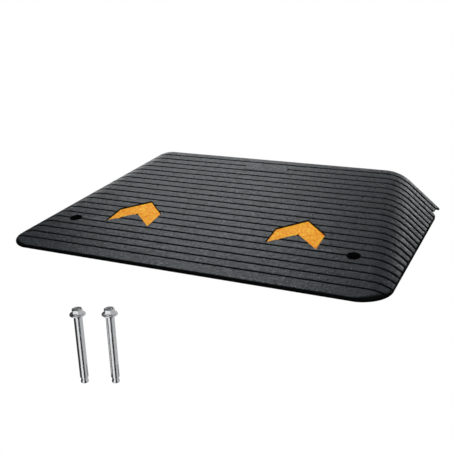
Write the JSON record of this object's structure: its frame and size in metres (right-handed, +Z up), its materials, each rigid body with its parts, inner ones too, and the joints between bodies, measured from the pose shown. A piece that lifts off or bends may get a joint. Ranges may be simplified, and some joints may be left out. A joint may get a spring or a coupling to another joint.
{
  "type": "rubber threshold ramp",
  "caption": "Wedge-shaped rubber kerb ramp with cross grooves, sloping side wings and reflective chevrons, with loose expansion anchors standing in front of it.",
  "frame": {"origin": "centre of the ramp's flat underside, on the ground", "axes": "+Z up; +Y up the slope, from the thin front edge to the tall rear face; +X to the right when facing up the slope"},
  "size_m": [1.07, 1.2174, 0.148],
  "materials": {
    "rubber": "moulded recycled rubber crumb, matt",
    "reflective": "orange retroreflective sheet with fine glass beads",
    "zinc_steel": "bright zinc plate"
  },
  "bodies": {
    "ramp": {"ramp_body": "rubber", "reflector_left": "reflective", "reflector_right": "reflective"},
    "anchor_left": {"anchor_stud_left": "zinc_steel"},
    "sleeve_left": {"anchor_sleeve_left": "zinc_steel", "anchor_washer_left": "zinc_steel"},
    "nut_left": {"anchor_nut_left": "zinc_steel"},
    "anchor_right": {"anchor_stud_right": "zinc_steel"},
    "sleeve_right": {"anchor_sleeve_right": "zinc_steel", "anchor_washer_right": "zinc_steel"},
    "nut_right": {"anchor_nut_right": "zinc_steel"}
  },
  "joints": [
    {"name": "left_anchor_lift", "type": "slide", "parent": "ramp", "child": "anchor_left", "axis": [0, 0, 1], "range_m": [0, 0.2]},
    {"name": "left_sleeve_slide", "type": "slide", "parent": "anchor_left", "child": "sleeve_left", "axis": [0, 0, -1], "range_m": [0, 0.0042]},
    {"name": "left_nut_turn", "type": "hinge", "parent": "sleeve_left", "child": "nut_left", "pos_m": [0.099, -0.853, 0.14], "axis": [0, 0, -1], "range_deg": [0, 865]},
    {"name": "right_anchor_lift", "type": "slide", "parent": "ramp", "child": "anchor_right", "axis": [0, 0, 1], "range_m": [0, 0.2]},
    {"name": "right_sleeve_slide", "type": "slide", "parent": "anchor_right", "child": "sleeve_right", "axis": [0, 0, -1], "range_m": [0, 0.0042]},
    {"name": "right_nut_turn", "type": "hinge", "parent": "sleeve_right", "child": "nut_right", "pos_m": [0.152, -0.831, 0.14], "axis": [0, 0, -1], "range_deg": [0, 865]}
  ],
  "couplings": [
    {"joint": "left_nut_turn", "follows": "left_sleeve_slide", "rad_per_m": 3590.4},
    {"joint": "right_nut_turn", "follows": "right_sleeve_slide", "rad_per_m": 3590.4}
  ]
}
